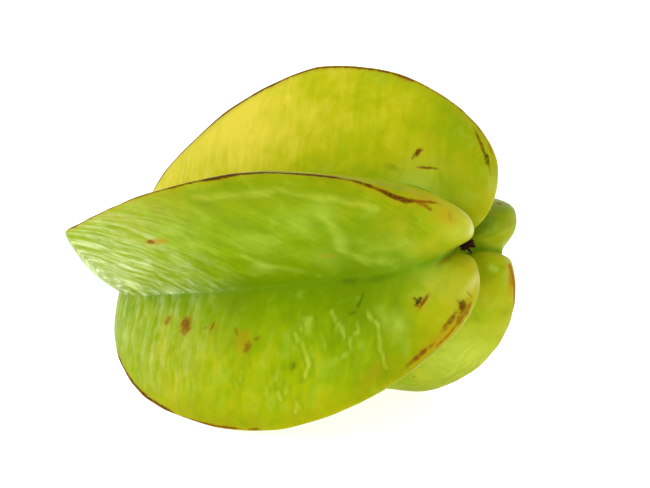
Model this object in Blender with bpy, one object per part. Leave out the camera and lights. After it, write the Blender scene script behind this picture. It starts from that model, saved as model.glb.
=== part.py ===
"""A star fruit, picked, lying on two of its five ribs with the stem end raised.

Metres, +Z up. +X runs along the fruit, towards the stem end, and the table is the plane z = 0.
The origin is on the table under the middle of the fruit.
"""

import math
from collections import namedtuple

import bmesh
import bpy
from mathutils import Matrix, Vector

MM = 0.001

# Driving dimensions, in millimetres along the fruit's own axis and square to it.
STALK_SEAT_AT = 40.3
BLOSSOM_TIP_AT = -47.5
SEAT_RADIUS = 2.3
VALLEY_WIDEST_AT = 22.0

# Each rib: its angle about the axis, its height from the axis, where it is highest, how far its
# shoulder reaches past the stalk, the shoulder's distance from the axis, how square its blossom
# end is (2 is round), how far the corner there stands out, the depth of the next valley, and how
# far that valley swells towards the stalk end beside the hollow.
Rib = namedtuple(
    "Rib",
    "angle height highest_at shoulder_at shoulder_out end_fullness beak next_valley next_swell",
)
RIBS = {
    "front": Rib(25.0, 44.1, 13.5, 46.9, 10.0, 2.24, 5.8, 15.8, 0.0),
    "top": Rib(101.9, 42.8, 7.5, 48.7, 14.7, 1.8, 0.6, 15.9, 0.0),
    "back": Rib(164.8, 39.5, 3.2, 46.3, 14.0, 2.0, 1.2, 16.6, 5.9),
    "back_foot": Rib(239.7, 35.9, 17.5, 48.8, 6.5, 1.4, 0.8, 15.6, 0.0),
    "front_foot": Rib(307.0, 39.0, 5.3, 45.6, 10.6, 2.06, 0.0, 14.4, 0.0),
}

# A rib in section: half the width of its rounded edge, how far the flank bellies out, how round
# the valley is, and how much plumper the rib is at its stem shoulder.
EDGE_HALF_WIDTH = 0.9
FLANK_BULGE = 2.8
VALLEY_ROUNDING = 2.2
FULL_HEIGHT = 24.0
FULL_FLANK = 26.0
SHOULDER_PLUMPNESS = 3.4
SHOULDER_REACH = 0.15

# How square the turns are: the hollow's wall, shoulder to widest, and the valley's two ends.
HOLLOW_FULLNESS = 2.2
SHOULDER_FULLNESS = 1.7
VALLEY_STEM_FULLNESS = 3.2
VALLEY_BLOSSOM_FULLNESS = 2.0
SWELL_WIDTH = 0.09

# The corner at a rib's blossom end: where it is between the widest place and the tip, how
# long it is, and its lean from square to the axis (towards the stalk end when negative).
BEAK_AT = 0.58
BEAK_LENGTH = 0.1
BEAK_LEAN = -4.0

# How it lies: the stem end is raised by this many degrees, and each foot is worn this flat.
STEM_END_RAISED = 13.4
FLAT_DEPTH = 0.4

# Faces along a flank and along the fruit, and where its parts meet, as shares of the way
# from the stalk seat to the blossom tip.
FLANK_STEPS = 7
LENGTH_STEPS = 40
SEAT_END = 0.05
SHOULDER_TOP = 0.2
RIB_WIDEST = 0.56
VALLEY_WIDEST = 0.52

# The dried stub of the stalk, with five shrivelled sepals that point along the valleys.
STALK_GAP = 0.3
STALK_RADIUS = 1.1
STALK_TIP_RADIUS = 0.8
STALK_LENGTH = 2.4
STALK_SIDES = 10
SEPAL_SIDES = 6
SEPAL_LENGTH = 2.6
SEPAL_WIDTH = 1.5
SEPAL_TIP_WIDTH = 0.6
SEPAL_THICKNESS = 0.6
SEPAL_ROOT_AT = 1.0
SEPAL_LEAN = 62.0


def clear_scene():
    for item in list(bpy.data.objects):
        bpy.data.objects.remove(item)


def collection(name):
    made = bpy.data.collections.new(name)
    bpy.context.scene.collection.children.link(made)
    return made


def material(name, colour, roughness):
    made = bpy.data.materials.new(name)
    made.use_nodes = True
    shader = made.node_tree.nodes["Principled BSDF"]
    shader.inputs["Base Color"].default_value = (*colour, 1.0)
    shader.inputs["Roughness"].default_value = roughness
    shader.inputs["Metallic"].default_value = 0.0
    return made


def mesh_object(name, build, target):
    """A new object whose mesh is filled by build(bmesh), linked to the target collection."""
    mesh = bpy.data.meshes.new(name)
    shape = bmesh.new()
    build(shape)
    shape.to_mesh(mesh)
    shape.free()
    made = bpy.data.objects.new(name, mesh)
    target.objects.link(made)
    return made


def turn(share, fullness):
    """A quarter of a superellipse, from (1, 0) at share 0 to (0, 1) at share 1."""
    across = math.cos(share * math.pi / 2)
    up = math.sin(share * math.pi / 2)
    reach = (abs(across) ** fullness + abs(up) ** fullness) ** (-1 / fullness)
    return reach * across, reach * up


def rib_edge(rib, t):
    """(along, out) of a rib's edge, from the stalk seat at t 0 to the blossom tip at t 1."""
    if t <= SEAT_END:
        return STALK_SEAT_AT, SEAT_RADIUS * t / SEAT_END
    if t <= SHOULDER_TOP:
        near, far = turn((t - SEAT_END) / (SHOULDER_TOP - SEAT_END), HOLLOW_FULLNESS)
        along = STALK_SEAT_AT + (rib.shoulder_at - STALK_SEAT_AT) * far
        return along, SEAT_RADIUS + (rib.shoulder_out - SEAT_RADIUS) * (1 - near)
    if t <= RIB_WIDEST:
        near, far = turn((t - SHOULDER_TOP) / (RIB_WIDEST - SHOULDER_TOP), SHOULDER_FULLNESS)
        along = rib.highest_at + (rib.shoulder_at - rib.highest_at) * near
        return along, rib.shoulder_out + (rib.height - rib.shoulder_out) * far
    share = (t - RIB_WIDEST) / (1 - RIB_WIDEST)
    near, far = turn(share, rib.end_fullness)
    beak = rib.beak * math.exp(-((abs(share - BEAK_AT) / BEAK_LENGTH) ** 1.5)) * (1 - share) ** 0.3
    along = rib.highest_at + (BLOSSOM_TIP_AT - rib.highest_at) * far
    lean = math.radians(BEAK_LEAN)
    return along - beak * math.sin(lean), rib.height * near + beak * math.cos(lean)


def valley_floor(rib, t):
    """(along, out) of the bottom of the valley that follows a rib, for the same t."""
    if t <= SEAT_END:
        return STALK_SEAT_AT, SEAT_RADIUS * t / SEAT_END
    from_seat = (t - SEAT_END) / SWELL_WIDTH
    swell = rib.next_swell * (from_seat * math.exp(1 - from_seat)) ** 2
    if t <= VALLEY_WIDEST:
        near, far = turn((t - SEAT_END) / (VALLEY_WIDEST - SEAT_END), VALLEY_STEM_FULLNESS)
        along = VALLEY_WIDEST_AT + (STALK_SEAT_AT - VALLEY_WIDEST_AT) * near
        return along + swell, SEAT_RADIUS + (rib.next_valley - SEAT_RADIUS) * far
    near, far = turn((t - VALLEY_WIDEST) / (1 - VALLEY_WIDEST), VALLEY_BLOSSOM_FULLNESS)
    along = VALLEY_WIDEST_AT + (BLOSSOM_TIP_AT - VALLEY_WIDEST_AT) * far
    return along + swell, rib.next_valley * near


def bezier(controls, s):
    """The point at s on the Bezier curve with these control points."""
    degree = len(controls) - 1
    weights = [math.comb(degree, i) * (1 - s) ** (degree - i) * s**i for i in range(degree + 1)]
    return sum((weight * point for weight, point in zip(weights, controls)), controls[0] * 0)


def skin_point(number, side, s, t):
    """A point on a rib's flank: s is 0 at its edge and 1 in the valley, side is 1 or -1."""
    ribs = list(RIBS.values())
    rib = ribs[number]
    beside = ribs[(number + side) % len(ribs)]
    before = rib if side == 1 else beside
    half_gap = math.radians((beside.angle - rib.angle) * side % 360 / 2)
    edge_along, edge_out = rib_edge(rib, t)
    valley_along, valley_out = valley_floor(before, t)

    # The flank is one curve square to the axis: x away from the axis along the rib, y across it.
    edge = Vector((edge_out, 0))
    valley = Vector((math.cos(half_gap), math.sin(half_gap))) * valley_out
    flank = valley - edge
    square = Vector((-flank.y, flank.x)).normalized()
    if square.y < 0:
        square.negate()
    plumpness = SHOULDER_PLUMPNESS * math.exp(-(((t - SHOULDER_TOP) / SHOULDER_REACH) ** 2))
    rise = min(t / SHOULDER_TOP, 1.0)
    width = EDGE_HALF_WIDTH * max(edge_out - valley.x, 0.0) / FULL_HEIGHT
    width += plumpness * rise * rise * (3 - 2 * rise)
    belly = (edge + valley) / 2 + square * FLANK_BULGE * flank.length / FULL_FLANK
    rounding = VALLEY_ROUNDING * valley_out / before.next_valley
    foot = valley + Vector((math.sin(half_gap), -math.cos(half_gap))) * rounding
    out, across = bezier([edge, edge + Vector((0, width)), belly, foot, valley], s)
    along = valley_along + (edge_along - valley_along) * bezier([1.0, 1.0, 0.5, 0.0, 0.0], s)

    angle = math.radians(rib.angle)
    outward = Vector((0, -math.cos(angle), math.sin(angle)))
    sideways = Vector((0, math.sin(angle), math.cos(angle))) * side
    return Vector((along, 0, 0)) + outward * out + sideways * across


def laid_down():
    """The turn that raises the stem end and rolls the fruit until both foot ribs reach the table."""
    names = list(RIBS)
    raise_stem = Matrix.Rotation(math.radians(-STEM_END_RAISED), 3, "Y")
    roll = 0.0
    for _ in range(6):
        pose = raise_stem @ Matrix.Rotation(roll, 3, "X")
        feet = []
        for name in ("front_foot", "back_foot"):
            edge = [pose @ skin_point(names.index(name), 1, 0.0, i / 400) for i in range(400)]
            feet.append(min(edge, key=lambda point: point.z))
        front, back = feet
        roll -= math.atan2(back.z - front.z, back.y - front.y)
    return pose


def fruit_shape(shape):
    """A sphere whose vertices are moved to the skin, each column to its place on a rib's flank."""
    around = len(RIBS) * FLANK_STEPS * 2
    bmesh.ops.create_uvsphere(shape, u_segments=around, v_segments=LENGTH_STEPS, radius=1.0)
    for vertex in shape.verts:
        from_pole = math.acos(max(-1.0, min(1.0, vertex.co.z)))
        t = round(from_pole / math.pi * LENGTH_STEPS) / LENGTH_STEPS
        column = round(math.atan2(vertex.co.x, vertex.co.y) / math.tau * around)
        number = round(column / (2 * FLANK_STEPS))
        step = column - number * 2 * FLANK_STEPS
        side = 1 if step >= 0 else -1
        vertex.co = skin_point(number % len(RIBS), side, abs(step) / FLANK_STEPS, t) * MM
    bmesh.ops.recalc_face_normals(shape, faces=shape.faces)


def table_shape(shape):
    bmesh.ops.create_cube(shape, size=0.3)
    bmesh.ops.translate(shape, verts=shape.verts, vec=(0, 0, -0.15))


def make_fruit(parts, cutters):
    """The whole fruit, set down so that its middle is over the origin and its feet are worn flat."""
    fruit = mesh_object("fruit", fruit_shape, parts)
    pose = laid_down()
    points = [pose @ vertex.co for vertex in fruit.data.vertices]
    low = [min(point[axis] for point in points) for axis in range(3)]
    high = [max(point[axis] for point in points) for axis in range(3)]
    middle = Vector(((low[0] + high[0]) / 2, (low[1] + high[1]) / 2, low[2] + FLAT_DEPTH * MM))
    place = Matrix.Translation(-middle) @ pose.to_4x4()
    fruit.data.transform(place)
    fruit.data.shade_smooth()
    fruit.data.materials.append(material("skin", (0.42, 0.50, 0.03), 0.35))

    table = mesh_object("under_table", table_shape, cutters)
    table.hide_render = True
    table.display_type = "WIRE"
    flats = fruit.modifiers.new("flats", "BOOLEAN")
    flats.operation = "DIFFERENCE"
    flats.object = table
    return place


def stub_shape(shape):
    bmesh.ops.create_cone(
        shape,
        cap_ends=True,
        segments=STALK_SIDES,
        radius1=STALK_RADIUS * MM,
        radius2=STALK_TIP_RADIUS * MM,
        depth=STALK_LENGTH * MM,
    )
    bmesh.ops.translate(shape, verts=shape.verts, vec=(0, 0, STALK_LENGTH / 2 * MM))


def sepal_shape(shape):
    bmesh.ops.create_cone(
        shape,
        cap_ends=True,
        segments=SEPAL_SIDES,
        radius1=SEPAL_WIDTH / 2 * MM,
        radius2=SEPAL_TIP_WIDTH / 2 * MM,
        depth=SEPAL_LENGTH * MM,
    )
    bmesh.ops.translate(shape, verts=shape.verts, vec=(0, 0, SEPAL_LENGTH / 2 * MM))
    bmesh.ops.scale(shape, verts=shape.verts, vec=(SEPAL_THICKNESS / SEPAL_WIDTH, 1, 1))


def make_stalk(parts, fruit_place):
    """The stub and its sepals as one dried piece, standing on the seat in the hollow."""
    stalk = mesh_object("stalk", stub_shape, parts)
    gathered = collection("sepals")
    ribs = list(RIBS.values())
    for number, rib in enumerate(ribs):
        gap = (ribs[(number + 1) % len(ribs)].angle - rib.angle) % 360
        sepal = mesh_object(f"sepal_{number}", sepal_shape, gathered)
        spin = Matrix.Rotation(math.radians(-rib.angle - gap / 2), 4, "Z")
        lean = Matrix.Rotation(math.radians(SEPAL_LEAN), 4, "Y")
        sepal.matrix_world = spin @ Matrix.Translation((0, 0, SEPAL_ROOT_AT * MM)) @ lean
    join = stalk.modifiers.new("sepals", "BOOLEAN")
    join.operation = "UNION"
    join.operand_type = "COLLECTION"
    join.collection = gathered
    bpy.context.view_layer.update()
    joined = stalk.evaluated_get(bpy.context.evaluated_depsgraph_get())
    stalk.data = bpy.data.meshes.new_from_object(joined)
    stalk.modifiers.clear()
    for sepal in list(gathered.objects):
        bpy.data.objects.remove(sepal)
    bpy.data.collections.remove(gathered)
    stalk.data.materials.clear()
    stalk.data.materials.append(material("dried_stalk", (0.035, 0.018, 0.008), 0.8))

    # Its own Z goes along the fruit, and its own X to the front, where the ribs' angles start.
    stand = Matrix(((0, 0, 1), (-1, 0, 0), (0, -1, 0))).to_4x4()
    seat = Matrix.Translation(((STALK_SEAT_AT + STALK_GAP) * MM, 0, 0))
    stalk.matrix_world = fruit_place @ seat @ stand


def main():
    clear_scene()
    parts = collection("star_fruit")
    cutters = collection("cutters")
    fruit_place = make_fruit(parts, cutters)
    make_stalk(parts, fruit_place)


main()
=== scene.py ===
import math
from collections import namedtuple

import bpy
import numpy as np
from mathutils import Matrix, Vector, noise


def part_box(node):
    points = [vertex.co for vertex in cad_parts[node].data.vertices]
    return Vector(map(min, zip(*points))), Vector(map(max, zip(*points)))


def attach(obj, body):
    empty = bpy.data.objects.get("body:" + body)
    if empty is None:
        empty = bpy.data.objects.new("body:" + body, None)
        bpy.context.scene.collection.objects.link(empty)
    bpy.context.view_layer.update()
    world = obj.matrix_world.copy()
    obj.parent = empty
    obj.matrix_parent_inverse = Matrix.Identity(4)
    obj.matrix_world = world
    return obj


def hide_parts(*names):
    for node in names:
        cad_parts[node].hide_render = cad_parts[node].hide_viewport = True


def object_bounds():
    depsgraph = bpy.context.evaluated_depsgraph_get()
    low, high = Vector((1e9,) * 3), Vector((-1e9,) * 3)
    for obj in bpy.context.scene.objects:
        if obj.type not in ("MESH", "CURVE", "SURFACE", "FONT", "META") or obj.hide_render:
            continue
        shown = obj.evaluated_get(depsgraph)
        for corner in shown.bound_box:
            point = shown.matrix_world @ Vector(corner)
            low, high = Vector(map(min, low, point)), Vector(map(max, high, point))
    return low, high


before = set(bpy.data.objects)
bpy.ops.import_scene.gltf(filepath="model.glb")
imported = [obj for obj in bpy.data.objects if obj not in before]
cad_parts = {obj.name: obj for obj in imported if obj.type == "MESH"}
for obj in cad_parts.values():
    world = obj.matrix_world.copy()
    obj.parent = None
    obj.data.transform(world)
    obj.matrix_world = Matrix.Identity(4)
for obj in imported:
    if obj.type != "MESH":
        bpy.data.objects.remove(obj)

cad_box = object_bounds()
MM = 0.001

# The fruit is one fleshy body that grew whole: five ribs round an axis, with a hollow for the stalk.
# Each rib is a thin rounded edge, two flanks that belly out, and a soft valley to the next rib.
# It lies on the two foot ribs, which are worn flat where they touch the table.
STALK_SEAT_AT = 40.3
BLOSSOM_TIP_AT = -47.5
SEAT_RADIUS = 2.3
VALLEY_WIDEST_AT = 22.0
Rib = namedtuple(
    "Rib",
    "angle height highest_at shoulder_at shoulder_out end_fullness beak next_valley next_swell",
)
RIBS = {
    "front": Rib(25.0, 44.1, 13.5, 46.9, 10.0, 2.24, 5.8, 15.8, 0.0),
    "top": Rib(101.9, 42.8, 7.5, 48.7, 14.7, 1.8, 0.6, 15.9, 0.0),
    "back": Rib(164.8, 39.5, 3.2, 46.3, 14.0, 2.0, 1.2, 16.6, 5.9),
    "back_foot": Rib(239.7, 35.9, 17.5, 48.8, 6.5, 1.4, 0.8, 15.6, 0.0),
    "front_foot": Rib(307.0, 39.0, 5.3, 45.6, 10.6, 2.06, 0.0, 14.4, 0.0),
}
EDGE_HALF_WIDTH = 0.9
FLANK_BULGE = 2.8
VALLEY_ROUNDING = 2.2
FULL_HEIGHT = 24.0
FULL_FLANK = 26.0
SHOULDER_PLUMPNESS = 3.4
SHOULDER_REACH = 0.15
HOLLOW_FULLNESS = 2.2
SHOULDER_FULLNESS = 1.7
VALLEY_STEM_FULLNESS = 3.2
VALLEY_BLOSSOM_FULLNESS = 2.0
SWELL_WIDTH = 0.09
BEAK_AT = 0.58
BEAK_LENGTH = 0.1
BEAK_SHARPNESS = 1.5
BEAK_FADE = 0.3
BEAK_LEAN = -4.0
STEM_END_RAISED = 13.4
SEAT_END = 0.05
SHOULDER_TOP = 0.2
RIB_WIDEST = 0.56
VALLEY_WIDEST = 0.52
FLANK_STEPS = 38
LENGTH_STEPS = 250
ROLL_ROUNDS = 6
ROLL_SAMPLES = 400
rib_names = list(RIBS)
ribs = list(RIBS.values())


def turn(share, fullness):
    """A quarter of a superellipse, from (1, 0) at share 0 to (0, 1) at share 1."""
    across = np.cos(share * math.pi / 2)
    up = np.sin(share * math.pi / 2)
    reach = (np.abs(across) ** fullness + np.abs(up) ** fullness) ** (-1 / fullness)
    return reach * across, reach * up


def rib_edge(rib, t):
    """(along, out) of a rib's edge, from the stalk seat at t 0 to the blossom tip at t 1."""
    hollow = np.clip((t - SEAT_END) / (SHOULDER_TOP - SEAT_END), 0, 1)
    near, far = turn(hollow, HOLLOW_FULLNESS)
    along = STALK_SEAT_AT + (rib.shoulder_at - STALK_SEAT_AT) * far
    out = SEAT_RADIUS + (rib.shoulder_out - SEAT_RADIUS) * (1 - near)
    out = np.where(t <= SEAT_END, SEAT_RADIUS * t / SEAT_END, out)
    shoulder = np.clip((t - SHOULDER_TOP) / (RIB_WIDEST - SHOULDER_TOP), 0, 1)
    near, far = turn(shoulder, SHOULDER_FULLNESS)
    past = t > SHOULDER_TOP
    along = np.where(past, rib.highest_at + (rib.shoulder_at - rib.highest_at) * near, along)
    out = np.where(past, rib.shoulder_out + (rib.height - rib.shoulder_out) * far, out)
    end = np.clip((t - RIB_WIDEST) / (1 - RIB_WIDEST), 0, 1)
    near, far = turn(end, rib.end_fullness)
    from_beak = np.abs(end - BEAK_AT) / BEAK_LENGTH
    beak = rib.beak * np.exp(-(from_beak**BEAK_SHARPNESS)) * (1 - end) ** BEAK_FADE
    lean = math.radians(BEAK_LEAN)
    past = t > RIB_WIDEST
    end_along = rib.highest_at + (BLOSSOM_TIP_AT - rib.highest_at) * far - beak * math.sin(lean)
    along = np.where(past, end_along, along)
    out = np.where(past, rib.height * near + beak * math.cos(lean), out)
    return along, out


def valley_floor(rib, t):
    """(along, out) of the bottom of the valley that follows a rib, for the same t."""
    from_seat = np.maximum(t - SEAT_END, 0) / SWELL_WIDTH
    swell = rib.next_swell * (from_seat * np.exp(1 - from_seat)) ** 2
    stem = np.clip((t - SEAT_END) / (VALLEY_WIDEST - SEAT_END), 0, 1)
    near, far = turn(stem, VALLEY_STEM_FULLNESS)
    along = VALLEY_WIDEST_AT + (STALK_SEAT_AT - VALLEY_WIDEST_AT) * near
    out = SEAT_RADIUS + (rib.next_valley - SEAT_RADIUS) * far
    out = np.where(t <= SEAT_END, SEAT_RADIUS * t / SEAT_END, out)
    end = np.clip((t - VALLEY_WIDEST) / (1 - VALLEY_WIDEST), 0, 1)
    near, far = turn(end, VALLEY_BLOSSOM_FULLNESS)
    past = t > VALLEY_WIDEST
    along = np.where(past, VALLEY_WIDEST_AT + (BLOSSOM_TIP_AT - VALLEY_WIDEST_AT) * far, along)
    return along + swell, np.where(past, rib.next_valley * near, out)


def bezier(controls, s):
    """A Bezier curve through its first and last control values, at share s of the way."""
    degree = len(controls) - 1
    weights = [math.comb(degree, i) * (1 - s) ** (degree - i) * s**i for i in range(degree + 1)]
    return sum(weight * control for weight, control in zip(weights, controls))


def flank(number, side, s, t):
    """Points of a rib's flank, in millimetres, with s from 0 at its edge to 1 in the valley.

    Side 1 faces the next rib and side -1 the one before.
    """
    rib = ribs[number]
    beside = ribs[(number + side) % len(ribs)]
    before = rib if side == 1 else beside
    half_gap = math.radians((beside.angle - rib.angle) * side % 360 / 2)
    edge_along, edge_out = rib_edge(rib, t)
    valley_along, valley_out = valley_floor(before, t)
    valley_x = valley_out * math.cos(half_gap)
    valley_y = valley_out * math.sin(half_gap)
    length = np.maximum(np.hypot(valley_x - edge_out, valley_y), 1e-6)
    bulge = FLANK_BULGE * length / FULL_FLANK
    belly_x = (edge_out + valley_x) / 2 + bulge * valley_y / length
    belly_y = valley_y / 2 + bulge * (edge_out - valley_x) / length
    plumpness = SHOULDER_PLUMPNESS * np.exp(-(((t - SHOULDER_TOP) / SHOULDER_REACH) ** 2))
    width = EDGE_HALF_WIDTH * np.maximum(edge_out - valley_x, 0) / FULL_HEIGHT
    rise = np.minimum(t / SHOULDER_TOP, 1)
    width = width + plumpness * rise * rise * (3 - 2 * rise)
    rounding = VALLEY_ROUNDING * valley_out / before.next_valley
    foot_x = valley_x + math.sin(half_gap) * rounding
    foot_y = valley_y - math.cos(half_gap) * rounding
    out = bezier([edge_out, edge_out, belly_x, foot_x, valley_x], s)
    across = bezier([edge_out * 0, width, belly_y, foot_y, valley_y], s)
    along = valley_along + (edge_along - valley_along) * bezier([1.0, 1.0, 0.5, 0.0, 0.0], s)
    angle = math.radians(rib.angle)
    y = -math.cos(angle) * out + math.sin(angle) * across * side
    z = math.sin(angle) * out + math.cos(angle) * across * side
    return np.stack(np.broadcast_arrays(along, y, z), axis=-1)


def laid_down():
    """The turn that raises the stem end and rolls the fruit until both foot ribs reach the table."""
    raise_stem = Matrix.Rotation(math.radians(-STEM_END_RAISED), 3, "Y")
    share = np.arange(ROLL_SAMPLES) / ROLL_SAMPLES
    roll = 0.0
    for _ in range(ROLL_ROUNDS):
        turned = np.array(raise_stem @ Matrix.Rotation(roll, 3, "X"))
        feet = []
        for name in ("front_foot", "back_foot"):
            edge = flank(rib_names.index(name), 1, 0.0, share) @ turned.T
            feet.append(edge[edge[:, 2].argmin()])
        front, back = feet
        roll -= math.atan2(back[2] - front[2], back[1] - front[1])
    return turned


columns = []
for number in range(len(ribs)):
    columns += [(number, -1, i / FLANK_STEPS) for i in range(FLANK_STEPS - 1, 0, -1)]
    columns += [(number, 1, i / FLANK_STEPS) for i in range(FLANK_STEPS + 1)]
rib_of = np.array([column[0] for column in columns])
side_of = np.array([column[1] for column in columns])
row_t = np.arange(LENGTH_STEPS + 1) / LENGTH_STEPS
pose = laid_down()
laid = np.stack([flank(number, side, s, row_t) @ pose.T for number, side, s in columns], axis=1)
fruit_low, fruit_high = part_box("fruit")
fruit_middle = (np.array(fruit_low) + np.array(fruit_high)) / 2 / MM
stand = fruit_middle - (laid.min((0, 1)) + laid.max((0, 1))) / 2
stand[2] = fruit_high.z / MM - laid[..., 2].max()
laid = laid + stand
t_grid = np.broadcast_to(row_t[:, None], laid.shape[:2])
s_grid = np.broadcast_to(np.array([column[2] for column in columns]), laid.shape[:2])

# How far each point lies from its rib's edge, round the flank.
step_mm = np.linalg.norm(np.roll(laid, -1, axis=1) - laid, axis=-1)
edge_mm = np.zeros(laid.shape[:2])
for number in range(len(ribs)):
    crest = number * 2 * FLANK_STEPS + FLANK_STEPS - 1
    for i in range(1, FLANK_STEPS + 1):
        ahead = (crest + i) % len(columns)
        edge_mm[:, ahead] = edge_mm[:, ahead - 1] + step_mm[:, ahead - 1]
        behind = (crest - i) % len(columns)
        if i < FLANK_STEPS:
            edge_mm[:, behind] = edge_mm[:, (behind + 1) % len(columns)] + step_mm[:, behind]
FRUIT_LENGTH = 110.0
along_mm = t_grid * FRUIT_LENGTH
on_axis = np.stack([flank(number, side, s, row_t)[:, 0] for number, side, s in columns], axis=1)


def smooth(start, end, value):
    """0 before start, 1 past end, and an eased step between; start may be the larger."""
    share = np.clip((value - start) / (end - start), 0, 1)
    return share * share * (3 - 2 * share)


def noise_on(points, size, seed):
    """Even noise, about -1 to 1, with bumps of the given size, at points in millimetres."""
    shift = Vector((seed * 17.3, seed * 5.1, -seed * 9.7))
    values = [noise.noise(Vector(point) / size + shift) for point in points.reshape(-1, 3)]
    return np.array(values).reshape(points.shape[:-1])


def skin_point(rib, side, s, t):
    """A point of the laid fruit's skin."""
    place = flank(rib_names.index(rib), side, s, np.array([t]))[0]
    return pose @ place + stand


# The flesh gives the skin broad swells and faint ripples that run from each edge to its valley.
# The edges wander a little. Raised threads of old scratches lie on one flank of each foot rib,
# and broader, softer ones on the front rib's lower flank. Their paler colour is partly a painted
# highlight, and a painted shade runs beside each.
SWELL_SIZE = 14.0
SWELL_HEIGHT = 0.28
RIPPLE_SPACING = 2.8
RIPPLE_HEIGHT = 0.06
RIPPLE_LENGTH = 14.0
RIPPLE_DRIFT = 30
EDGE_WANDER = 0.16
EDGE_WANDER_SIZE = 3.2
ends_fade = smooth(0.0, 0.12, t_grid) * smooth(1.0, 0.94, t_grid)
relief = SWELL_HEIGHT * noise_on(laid, SWELL_SIZE, 1) * ends_fade
ripples = [along_mm / RIPPLE_SPACING, edge_mm / RIPPLE_LENGTH, laid[..., 2] / RIPPLE_DRIFT]
ripples = np.stack(ripples, axis=-1)
relief += RIPPLE_HEIGHT * noise_on(ripples, 1.0, 2) * ends_fade * smooth(0.02, 0.15, s_grid)
RIBS_APART = 3.0
wander = [along_mm / EDGE_WANDER_SIZE, RIBS_APART * rib_of + 0 * along_mm, 0 * along_mm]
wander = np.stack(wander, axis=-1)
relief += EDGE_WANDER * noise_on(wander, 1.0, 3) * ends_fade * smooth(0.16, 0.0, s_grid)

Thread = namedtuple("Thread", "rib side width strength path")
THREADS = [
    Thread(
        "front_foot", 1, 0.34, 1.0,
        [(0.68, 0.549), (0.60, 0.560), (0.53, 0.545), (0.45, 0.531), (0.38, 0.533)],
    ),
    Thread("front_foot", 1, 0.90, 0.7, [(0.67, 0.551), (0.62, 0.547)]),
    Thread("front_foot", 1, 0.34, 0.6, [(0.57, 0.527), (0.52, 0.520)]),
    Thread("front_foot", 1, 0.34, 0.9, [(0.73, 0.530), (0.67, 0.522), (0.60, 0.494), (0.56, 0.488)]),
    Thread(
        "front_foot", 1, 0.34, 0.7,
        [(0.60, 0.461), (0.55, 0.455), (0.51, 0.470), (0.46, 0.462), (0.44, 0.474)],
    ),
    Thread(
        "front_foot", 1, 0.34, 1.0,
        [(0.65, 0.440), (0.58, 0.418), (0.50, 0.408), (0.36, 0.405), (0.23, 0.396)],
    ),
    Thread("front_foot", 1, 0.32, 0.6, [(0.44, 0.566), (0.37, 0.572), (0.31, 0.576)]),
    Thread("front_foot", 1, 0.32, 0.7, [(0.36, 0.556), (0.32, 0.549), (0.29, 0.556), (0.32, 0.563)]),
    Thread("front_foot", 1, 0.32, 0.6, [(0.26, 0.536), (0.22, 0.528), (0.18, 0.533)]),
    Thread("front_foot", 1, 0.32, 0.5, [(0.42, 0.610), (0.36, 0.616)]),
    Thread("front", -1, 0.90, 0.50, [(0.62, 0.600), (0.72, 0.588), (0.80, 0.560)]),
    Thread("front", -1, 0.70, 0.55, [(0.18, 0.600), (0.20, 0.500), (0.24, 0.420), (0.27, 0.360)]),
    Thread(
        "front", -1, 1.10, 0.50,
        [(0.40, 0.455), (0.52, 0.450), (0.66, 0.470), (0.78, 0.430), (0.80, 0.370)],
    ),
    Thread("back_foot", 1, 0.36, 0.5, [(0.22, 0.560), (0.28, 0.520), (0.27, 0.480), (0.33, 0.440)]),
    Thread("back_foot", 1, 0.36, 0.5, [(0.12, 0.520), (0.18, 0.480), (0.17, 0.440), (0.22, 0.410)]),
    Thread("back_foot", 1, 0.36, 0.4, [(0.33, 0.470), (0.38, 0.430), (0.40, 0.380)]),
]
THREAD_HEIGHT = 0.20
THREAD_FAR = 9.0
THREAD_WAVER = 0.55
THREAD_WAVER_SIZE = 1.9
THREAD_BREAK_SIZE = 1.5
THREAD_EVENLY = 0.75
THREAD_VARIES = 0.6
THREAD_FAINTEST = 0.2
THREAD_SIDE_AT = 1.9
THREAD_SIDE_DEPTH = 0.4
waver = np.stack([noise_on(laid, THREAD_WAVER_SIZE, seed) for seed in (7, 8, 9)], axis=-1)
wavering = laid + THREAD_WAVER * waver
thread_break = THREAD_EVENLY + THREAD_VARIES * noise_on(laid, THREAD_BREAK_SIZE, 10)
threads = np.zeros(laid.shape[:2])
thread_sides = np.zeros(laid.shape[:2])
for thread in THREADS:
    nearest = np.full(laid.shape[:2], THREAD_FAR)
    knots = [skin_point(thread.rib, thread.side, s, t) for s, t in thread.path]
    for start, end in zip(knots, knots[1:]):
        run = end - start
        share = np.clip((wavering - start) @ run / (run @ run), 0, 1)
        apart = np.linalg.norm(wavering - start - share[..., None] * run, axis=-1)
        nearest = np.minimum(nearest, apart)
    own_flank = (rib_of == rib_names.index(thread.rib)) & (side_of == thread.side)
    own_thread = thread.strength * np.exp(-((nearest / thread.width) ** 2)) * own_flank
    threads = np.maximum(threads, own_thread)
    from_side = (nearest - THREAD_SIDE_AT * thread.width) / thread.width
    beside = np.exp(-(from_side**2)) * own_flank
    thread_sides = np.maximum(thread_sides, thread.strength * beside)
thread_sides *= 1 - threads
threads *= np.clip(thread_break, THREAD_FAINTEST, 1)
relief += THREAD_HEIGHT * (threads - THREAD_SIDE_DEPTH * thread_sides)

# The skin is one closed mesh, its rows of points running from the stalk seat to the blossom tip.
# Clipping it to the CAD model's box also wears the two feet flat where they touch the table.
around = len(columns)
inner_rows = LENGTH_STEPS - 1
tip = 1 + inner_rows * around


def by_vertex(values):
    """Grid values in the order of the mesh's vertices, with one for each end."""
    between = values[1:-1].reshape(-1, *values.shape[2:])
    return np.concatenate([values[:1, 0], between, values[-1:, 0]])


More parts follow.
